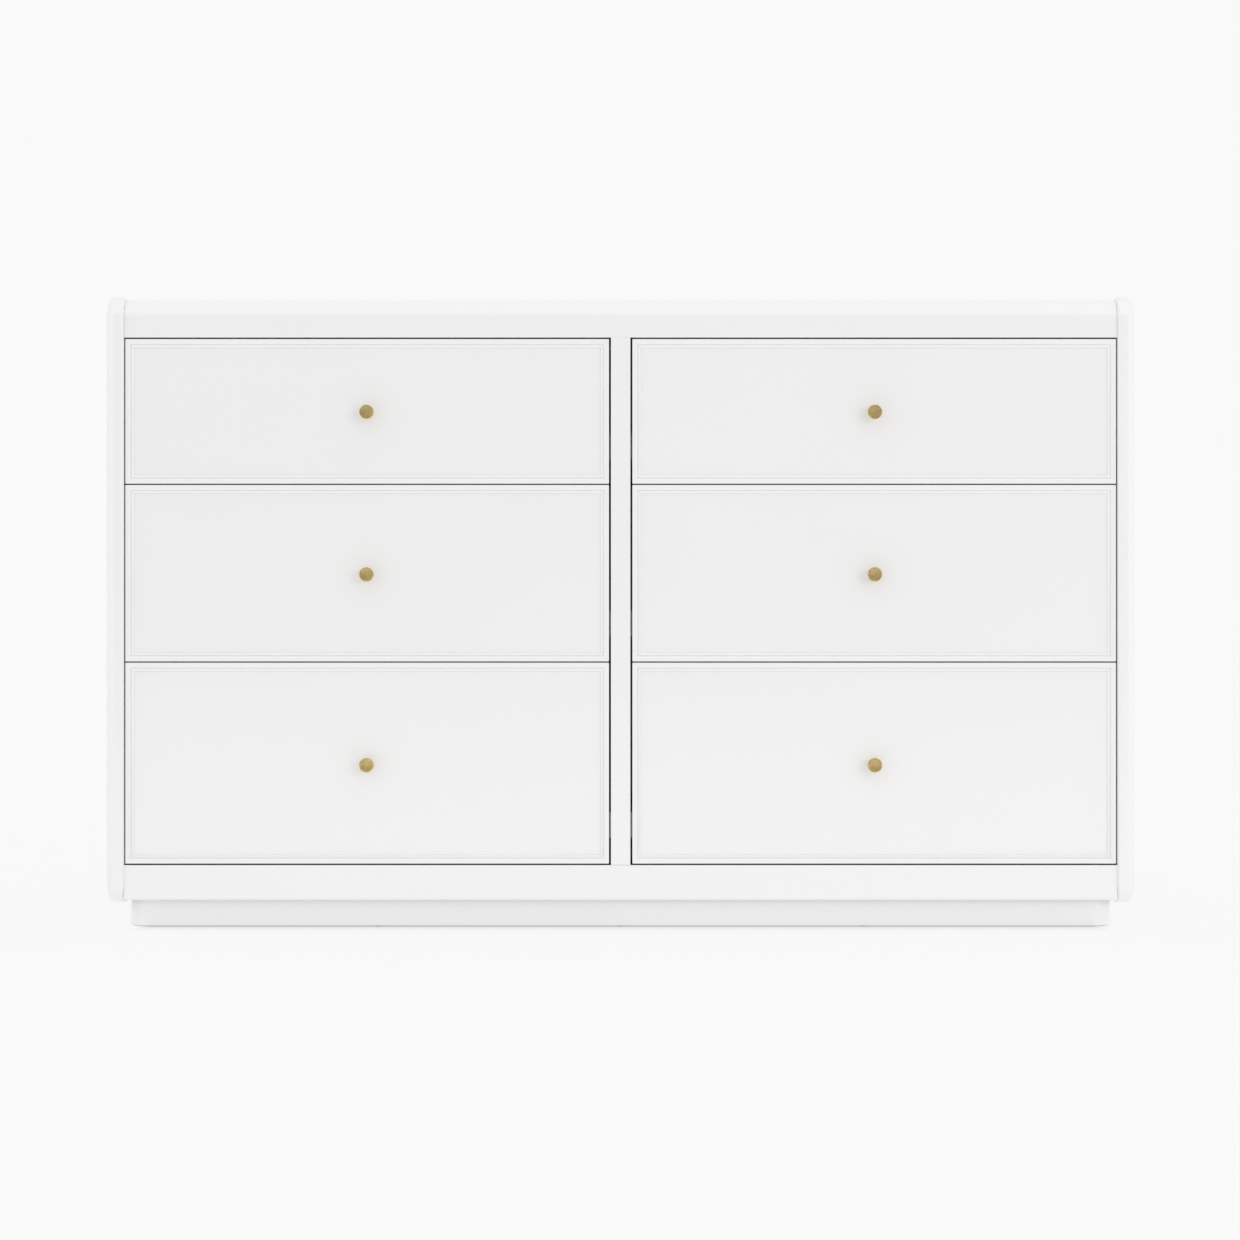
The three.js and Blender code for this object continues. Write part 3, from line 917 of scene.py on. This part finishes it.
class DrawerBox:
    """One drawer box, worked out from its node's corners."""

    def __init__(self, drawer, sizes):
        self.drawer = drawer
        self.sizes = sizes
        self.body = f"{drawer}_drawer"
        self.low, self.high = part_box(f"{drawer}_drawer_box")
        self.sheet_low, self.sheet_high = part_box(f"{drawer}_drawer_bottom")
        self.wall = sizes.box_wall
        self.flare = sizes.box_wall * sizes.tail_slope
        self.groove_low = self.sheet_low.z - sizes.groove_clearance
        self.groove_high = self.sheet_high.z + sizes.groove_clearance
        self.front_shoulder = self.low.y + self.wall
        self.back_shoulder = self.high.y - self.wall
        self.front_tails = self.tails_between(self.low.z, self.high.z)
        self.back_tails = self.tails_between(self.groove_high, self.high.z)

    def tails_between(self, low, high):
        """The low and high level of each tail at its shoulder, with a half pin above and below."""
        count = max(2, round((high - low) / self.sizes.tail_pitch))
        pitch = (high - low) / count
        spare = pitch * (1 - self.sizes.tail_share) / 2
        return [(low + i * pitch + spare, low + (i + 1) * pitch - spare) for i in range(count)]

    def make_sides(self):
        for side in SIDES:
            at_left = side == "left"
            outer = self.low.x if at_left else self.high.x
            inner = outer - SIGN[side] * self.wall
            low = Vector((min(outer, inner), self.front_shoulder, self.low.z))
            high = Vector((max(outer, inner), self.back_shoulder, self.high.z))
            bm = box_between(low, high)
            for tails in (self.front_tails, self.back_tails):
                for level in (edge for tail in tails for edge in tail):
                    cut(bm, Z * level, Z)
            self.cut_groove(bm, 0, inner, X * SIGN[side])
            self.pull_tails(bm, self.front_shoulder, -Y, self.front_tails)
            self.pull_tails(bm, self.back_shoulder, Y, self.back_tails)
            foot = faces_on(bm, 1, self.back_shoulder, self.low.z, self.groove_high)
            pull(bm, foot, Y * self.wall)
            round_edges(bm, edges_along(bm, Y, on(2, self.high.z)), self.sizes.box_arris, segments=3)
            replaced = [f"{self.drawer}_drawer_box"] if at_left else []
            make_piece(f"{self.drawer}_box_{side}_board", bm, "wood_along", self.body, replaced)

    def cut_groove(self, bm, axis, inner, into_board):
        """Sinks the groove for the bottom sheet into a board's inside face."""
        cut(bm, Z * self.groove_low, Z)
        cut(bm, Z * self.groove_high, Z)
        strip = faces_on(bm, axis, inner, self.groove_low, self.groove_high)
        pull(bm, strip, into_board * self.sizes.groove_depth)

    def pull_tails(self, bm, shoulder, outward, tails):
        """Draws each tail out of the board's end and flares it."""
        gap = self.sizes.joint_line
        for low, high in tails:
            moved = pull(bm, faces_on(bm, 1, shoulder, low, high), outward * self.wall)
            growth = (high - low + 2 * (self.flare - gap)) / (high - low)
            middle = Matrix.Translation(-Z * (low + high) / 2)
            bmesh.ops.scale(bm, vec=(1, 1, growth), space=middle, verts=moved)

    def pin_board(self, low, high, tails, tip, shoulder):
        """A front or back board: pins at both ends, whose sides lean as the tails do."""
        ends = (low.x + self.wall, high.x - self.wall)
        bm = box_between((ends[0], low.y, low.z), (ends[1], high.y, high.z))
        run = tip - shoulder
        for tail_low, tail_high in tails:
            cut(bm, Vector((0, shoulder, tail_low)), Vector((0, self.flare, run)))
            cut(bm, Vector((0, shoulder, tail_high)), Vector((0, -self.flare, run)))
        for end, outward in zip(ends, (-X, X)):
            for face in faces_on(bm, 0, end):
                level = face.calc_center_median().z
                if not any(a - self.flare / 2 < level < b + self.flare / 2 for a, b in tails):
                    pull(bm, [face], outward * self.wall)
        return bm

    def make_front_board(self):
        low = self.low
        high = Vector((self.high.x, self.front_shoulder, self.high.z))
        bm = self.pin_board(low, high, self.front_tails, low.y, high.y)
        self.cut_groove(bm, 1, high.y, -Y)
        make_piece(f"{self.drawer}_box_front_board", bm, "wood_across", self.body)

    def make_back_board(self):
        low = Vector((self.low.x, self.back_shoulder, self.groove_high))
        bm = self.pin_board(low, self.high, self.back_tails, self.high.y, low.y)
        make_piece(f"{self.drawer}_box_back_board", bm, "wood_across", self.body)

    def make_bottom(self):
        end = Vector((self.sheet_high.x, self.sheet_high.y - self.flare, self.sheet_high.z))
        bm = box_between(self.sheet_low, end)
        node = f"{self.drawer}_drawer_bottom"
        make_piece(f"{self.drawer}_box_bottom_sheet", bm, "sheet_wood", self.body, [node])


# ------------------------------------------------------------------------------------------------ knobs


class DRESSER_OT_knobs(bpy.types.Operator):
    """Make the turned brass knobs, and the bolt that holds each one from inside its drawer"""

    bl_idname = "dresser.knobs"
    bl_label = "Knobs"

    KNOB_STEPS = 64
    DISH_STEPS = 8
    WASHER_STEPS = 24
    WASHER_THICKNESS = 0.001
    BOLT_SCALE = 1.25  # the bolt's head next to a screw's
    SCREW_REACH = 0.36  # share of the box's width from its middle to a screw
    SCREW_RISE = 0.26  # share of the box's height from its middle to a screw

    def execute(self, context):
        hardware = context.scene.dresser_hardware
        wall = context.scene.dresser_drawers.box_wall
        for drawer in DRAWERS:
            node = f"{drawer}_knob"
            low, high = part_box(node)
            seat = Vector(((low.x + high.x) / 2, high.y, (low.z + high.z) / 2))
            profile = self.profile((high.x - low.x) / 2, high.y - low.y, hardware)
            bm = bmesh.new()
            add_spun(bm, profile, seat, -Y, self.KNOB_STEPS)
            make_piece(f"{drawer}_brass_knob", bm, "brushed_brass", f"{drawer}_drawer", [node])
            self.make_fixings(drawer, seat, wall, hardware)
        return {"FINISHED"}

    def profile(self, head, reach, hardware):
        """Foot, waisted neck, banded head with rounded edges, and a dished face."""
        foot = hardware.knob_foot / 2
        stem = hardware.knob_stem / 2
        edge = hardware.knob_edge
        band = reach - hardware.knob_band
        foot_side = hardware.knob_foot_height * 0.7
        foot_edge = edge * 0.6
        back_edge = edge * 0.4
        flare = head - stem
        neck_end = band - flare
        points = [(0.0, 0.0), (foot, 0.0), (foot, foot_side)]
        points += arc((foot - foot_edge, foot_side), foot_edge, 0, 90, 4)
        points += [(stem, hardware.knob_foot_height + edge), (stem, neck_end)]
        points += arc((head, neck_end), flare, 180, 90, 8)[1:-1]
        points += arc((head - back_edge, band + back_edge), back_edge, -90, 0, 4)
        points += arc((head - edge, reach - edge), edge, 0, 90, 8)
        dish = head - 2 * edge
        for step in range(self.DISH_STEPS + 1):
            share = 1 - step / self.DISH_STEPS
            points.append((dish * share, reach - hardware.knob_dish * (1 - share ** 2)))
        return points

    def make_fixings(self, drawer, seat, wall, hardware):
        """The knob's bolt and washer, and the screws that hold the front to the box."""
        low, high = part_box(f"{drawer}_drawer_box")
        inside = low.y + wall
        thickness = self.WASHER_THICKNESS
        radius = hardware.screw_head
        bm = bmesh.new()
        washer = [(0.0, 0.0), (radius, 0.0), (radius, thickness), (0.0, thickness)]
        add_spun(bm, washer, Vector((seat.x, inside, seat.z)), Y, self.WASHER_STEPS)
        add_screw(bm, Vector((seat.x, inside + thickness, seat.z)), Y, hardware, self.BOLT_SCALE)
        reach = (high.x - low.x) * self.SCREW_REACH
        rise = (high.z - low.z) * self.SCREW_RISE
        middle = (low.z + high.z) / 2
        for x in (seat.x - reach, seat.x + reach):
            for z in (middle - rise, middle + rise):
                add_screw(bm, Vector((x, inside, z)), Y, hardware)
        make_piece(f"{drawer}_front_screws", bm, "zinc_plate", f"{drawer}_drawer")


def arc(centre, radius, start, end, steps):
    """Points round an arc, in degrees, both ends included."""
    found = []
    for step in range(steps + 1):
        angle = math.radians(start + (end - start) * step / steps)
        found.append((centre[0] + radius * math.cos(angle), centre[1] + radius * math.sin(angle)))
    return found


# ----------------------------------------------------------------------------------------------- slides


class DRESSER_OT_slides(bpy.types.Operator):
    """Make the two-member ball slides, with their cages, balls and screws"""

    bl_idname = "dresser.slides"
    bl_label = "Slides"

    def execute(self, context):
        hardware = context.scene.dresser_hardware
        for drawer in DRAWERS:
            for side in SIDES:
                slide = Slide(drawer, side, hardware)
                slide.make_case_member()
                slide.make_drawer_member()
                slide.make_cage()
                slide.make_balls()
        return {"FINISHED"}


class Slide:
    """One slide. u runs from the case wall to the drawer, and v up from the slide's middle."""

    OUTER_BEND = 1.1  # radius of a fold's outside, in thicknesses of the sheet
    INNER_BEND = 0.35
    CASE_SCREWS = (0.08, 0.5, 0.92)  # shares of the slide's length
    DRAWER_SCREWS = (0.2, 0.55, 0.86)
    CAGE_START = 0.006  # behind the front end of the case member
    CAGE_SHEET = 0.4  # thickness of the cage's sheet, in thicknesses of the slide's
    CAGE_OFF_WALL = 1.25  # from the case wall to the cage, in the same measure
    CAGE_UNDER_TOP = 1.35  # from the case member's upper face to the cage, in the same measure

    def __init__(self, drawer, side, hardware):
        self.drawer = drawer
        self.side = side
        self.hardware = hardware
        self.steel = hardware.steel
        self.case_node = f"{drawer}_case_slide_{side}"
        self.drawer_node = f"{drawer}_drawer_slide_{side}"
        low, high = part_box(self.case_node)
        drawer_low, drawer_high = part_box(self.drawer_node)
        self.inward = -SIGN[side]
        self.wall_x, far_x = (low.x, drawer_high.x) if side == "left" else (high.x, drawer_low.x)
        self.middle = (low.z + high.z) / 2
        self.half = (high.z - low.z) / 2
        self.depth = high.x - low.x
        self.front = low.y
        self.back = high.y
        # The drawer member: u of its two faces, v of its upper flange and of the edge turned up from it.
        self.far = abs(far_x - self.wall_x)
        self.near = self.far - (drawer_high.x - drawer_low.x)
        self.flange = self.half - hardware.slide_lip - hardware.slide_run
        self.tip = self.half - self.steel - hardware.slide_run

    def at(self, u, v, y=0.0):
        return Vector((self.wall_x + self.inward * u, y, self.middle + v))

    def channel(self, upper, start, end):
        """A section given by its upper half, mirrored about the slide's middle and carried back."""
        lower = [(u, -v) for u, v in reversed(upper)]
        return extruded([self.at(u, v) for u, v in upper + lower], Y, start, end)

    def soften(self, bm, inner, outer):
        """Rounds the bends: the inside of each fold a little, and the outside more."""
        folds = edges_along(bm, Y)
        outside = [edge for edge in folds if self.is_at(edge, outer)]
        inside = [edge for edge in folds if self.is_at(edge, inner)]
        round_edges(bm, outside, self.steel * self.OUTER_BEND, segments=4)
        inside = [edge for edge in inside if edge.is_valid]
        round_edges(bm, inside, self.steel * self.INNER_BEND, segments=2)

    def is_at(self, edge, corners):
        """Does the edge run through one of the corners, or its mirror image?"""
        point = edge.verts[0].co
        u = (point.x - self.wall_x) * self.inward
        v = abs(point.z - self.middle)
        return any(abs(u - a) < NEAR and abs(v - b) < NEAR for a, b in corners)

    def make_case_member(self):
        steel = self.steel
        lip = self.half - self.hardware.slide_lip
        inside = [(steel, self.half - steel), (self.depth - steel, self.half - steel)]
        outside = [(self.depth, self.half), (0.0, self.half)]
        upper = inside + [(self.depth - steel, lip), (self.depth, lip)] + outside
        bm = self.channel(upper, self.front, self.back)
        self.soften(bm, inside, outside)
        self.add_screws(bm, self.CASE_SCREWS, steel, X * self.inward)
        name = f"{self.drawer}_{self.side}_case_member"
        make_piece(name, bm, "zinc_plate", "case", [self.case_node])

    def add_screws(self, bm, shares, u, axis):
        for share in shares:
            y = self.front + (self.back - self.front) * share
            add_screw(bm, self.at(u, 0.0, y), axis, self.hardware)

    def make_drawer_member(self):
        steel = self.steel
        near = self.near
        inside = [(self.far - steel, self.flange - steel), (near + steel, self.flange)]
        outside = [(near, self.flange - steel), (self.far, self.flange)]
        turned_up = [(near, self.tip), (near + steel, self.tip)]
        upper = [inside[0], outside[0], *turned_up, inside[1], outside[1]]
        bm = self.channel(upper, self.front, self.back)
        self.soften(bm, inside, outside)
        self.add_screws(bm, self.DRAWER_SCREWS, self.far - steel, -X * self.inward)
        name = f"{self.drawer}_{self.side}_drawer_member"
        make_piece(name, bm, "zinc_plate", f"{self.drawer}_drawer", [self.drawer_node])

    def ball_row(self):
        """The upper ball row's u and v."""
        return (self.near + self.depth) / 2, (self.flange + self.half - self.steel) / 2

    def make_cage(self):
        """A thin folded strip that keeps the two rows of balls apart, held near the front."""
        sheet = self.steel * self.CAGE_SHEET
        web = self.steel * self.CAGE_OFF_WALL
        top = self.half - self.steel * self.CAGE_UNDER_TOP
        reach = self.ball_row()[0] + self.hardware.ball / 2
        upper = [(web + sheet, top - sheet), (reach, top - sheet), (reach, top), (web, top)]
        start = self.front + self.CAGE_START
        bm = self.channel(upper, start, start + self.hardware.cage_length)
        make_piece(f"{self.drawer}_{self.side}_ball_cage", bm, "zinc_plate", "case")

    def make_balls(self):
        u, v = self.ball_row()
        hardware = self.hardware
        pitch = hardware.cage_length / hardware.balls_per_row
        radius = hardware.ball / 2
        bm = bmesh.new()
        for level in (-v, v):
            for index in range(hardware.balls_per_row):
                y = self.front + self.CAGE_START + pitch * (index + 0.5)
                place = Matrix.Translation(self.at(u, level, y))
                bmesh.ops.create_uvsphere(bm, u_segments=8, v_segments=5, radius=radius, matrix=place)
        make_piece(f"{self.drawer}_{self.side}_balls", bm, "ball_steel", "case")


# ------------------------------------------------------------------------------------------------ stage


class DRESSER_OT_stage(bpy.types.Operator):
    """Make the pale floor, the soft light and the level camera in front"""

    bl_idname = "dresser.stage"
    bl_label = "Stage"

    TOP_AT = Vector((0.0, 0.0, 3.0))
    TOP_FROM = Vector((0.10, -0.16, 1.0))  # towards the overhead light
    TOP_SPREAD = math.radians(60)
    KEY_AT = Vector((2.7, -5.0, 1.3))
    KEY_AIM = Vector((0.0, -0.2, 0.4))
    ROOM_AT = Vector((0.0, -8.0, 1.9))  # a dark curtain behind the camera
    ROOM_SIZE = Vector((7.0, 0.0, 4.4))
    SENSOR = 36.0  # width of the camera's sensor, in millimetres
    CLIP_START = 0.05

    def execute(self, context):
        stage = context.scene.dresser_stage
        self.make_world(context.scene, stage)
        self.make_lights(stage)
        self.make_floor(stage)
        self.make_curtain(stage)
        self.make_camera(context.scene, stage)
        view = context.scene.view_settings
        view.view_transform = "Standard"
        view.look = "None"
        return {"FINISHED"}

    def make_world(self, scene, stage):
        world = bpy.data.worlds.new("studio")
        world.use_nodes = True
        background = world.node_tree.nodes["Background"]
        background.inputs["Color"].default_value = grey(1.0)
        background.inputs["Strength"].default_value = stage.backdrop
        scene.world = world

    def make_lights(self, stage):
        top = bpy.data.lights.new("top_light", "SUN")
        top.energy = stage.top_strength
        top.angle = self.TOP_SPREAD
        self.hang(top, self.TOP_AT, self.TOP_FROM)
        key = bpy.data.lights.new("key_light", "AREA")
        key.energy = stage.key_power
        key.shape = "DISK"
        key.size = stage.key_size
        lamp = self.hang(key, self.KEY_AT, self.KEY_AT - self.KEY_AIM)
        lamp.visible_glossy = False

    def hang(self, light, place, back):
        """Puts a light at a place, its back turned towards back."""
        lamp = bpy.data.objects.new(light.name, light)
        lamp.location = place
        lamp.visible_camera = False
        lamp.rotation_mode = "QUATERNION"
        lamp.rotation_quaternion = back.to_track_quat("Z", "Y")
        bpy.context.scene.collection.objects.link(lamp)
        return lamp

    def make_floor(self, stage):
        light_on_floor = stage.top_strength * self.TOP_FROM.normalized().z / math.pi
        corner = bpy.context.scene.dresser_case.plinth_corner
        bm = bmesh.new()
        bmesh.ops.create_grid(bm, x_segments=1, y_segments=1, size=stage.floor_size / 2)
        self.set_up("floor", bm, floor_finish(stage, light_on_floor, plinth_box(), corner))

    def set_up(self, name, bm, material):
        """Turns a bmesh into something that stands round the dresser."""
        mesh = bpy.data.meshes.new(name)
        bm.to_mesh(mesh)
        bm.free()
        mesh.materials.append(material)
        thing = bpy.data.objects.new(name, mesh)
        bpy.context.scene.collection.objects.link(thing)
        return thing

    def make_curtain(self, stage):
        """A dark curtain behind the camera, which flat faces reflect and rounded edges do not."""
        corners = [(-0.5, -0.5), (0.5, -0.5), (0.5, 0.5), (-0.5, 0.5)]
        size = self.ROOM_SIZE
        points = [self.ROOM_AT + Vector((x * size.x, 0, z * size.z)) for x, z in corners]
        bm = bmesh.new()
        bm.faces.new([bm.verts.new(point) for point in points])
        cloth = Finish("curtain_cloth", Roughness=1.0, Specular_IOR_Level=0.0)
        # Painted shade of folds: darker vertical bands in the flat cloth's grey stand in for the shade in
        # its folds.
        fold = cloth.noise(4.0, (1.0, 1.0, 0.1))
        tone = stage.room_tone
        cloth.drive(Base_Color=cloth.blend(fold, grey(tone * 0.8), grey(tone)))
        curtain = self.set_up("curtain", bm, cloth.material)
        curtain.visible_camera = False
        curtain.visible_diffuse = False

    def make_camera(self, scene, stage):
        camera = bpy.data.cameras.new("camera")
        camera.sensor_width = self.SENSOR
        camera.lens = self.SENSOR * stage.view_distance / stage.view_width
        camera.clip_start = self.CLIP_START
        camera.clip_end = stage.floor_size
        holder = bpy.data.objects.new("camera", camera)
        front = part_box("side_panel_left")[0].y
        holder.location = (stage.view_aside, front - stage.view_distance, stage.view_height)
        holder.rotation_euler = (math.pi / 2, 0.0, 0.0)
        scene.collection.objects.link(holder)
        scene.camera = holder


# ---------------------------------------------------------------------------------------- registration


class DRESSER_PT_build(bpy.types.Panel):
    """Lists the sizes, the colours and the operators"""

    bl_label = "Dresser"
    bl_space_type = "VIEW_3D"
    bl_region_type = "UI"
    bl_category = "Dresser"

    def draw(self, context):
        for group in GROUPS:
            settings = getattr(context.scene, group)
            column = self.layout.column(align=True)
            for name in settings.__annotations__:
                column.prop(settings, name)
        for operator in OPERATORS:
            self.layout.operator(operator.bl_idname)


GROUPS = {
    "dresser_case": CaseSizes,
    "dresser_drawers": DrawerSizes,
    "dresser_hardware": HardwareSizes,
    "dresser_colours": FinishColours,
    "dresser_stage": StageSizes,
}
OPERATORS = (
    DRESSER_OT_stage,
    DRESSER_OT_side_panels,
    DRESSER_OT_top_and_rail,
    DRESSER_OT_upright_and_back,
    DRESSER_OT_plinth,
    DRESSER_OT_drawer_fronts,
    DRESSER_OT_drawer_boxes,
    DRESSER_OT_knobs,
    DRESSER_OT_slides,
)


def register():
    for group in (*GROUPS.values(), *OPERATORS, DRESSER_PT_build):
        bpy.utils.register_class(group)
    for name, group in GROUPS.items():
        setattr(bpy.types.Scene, name, PointerProperty(type=group))


def unregister():
    for name in GROUPS:
        delattr(bpy.types.Scene, name)
    for group in reversed((*GROUPS.values(), *OPERATORS, DRESSER_PT_build)):
        bpy.utils.unregister_class(group)


def main():
    register()
    for operator in OPERATORS:
        module, name = operator.bl_idname.split(".")
        getattr(getattr(bpy.ops, module), name)()


if __name__ == "__main__":
    main()
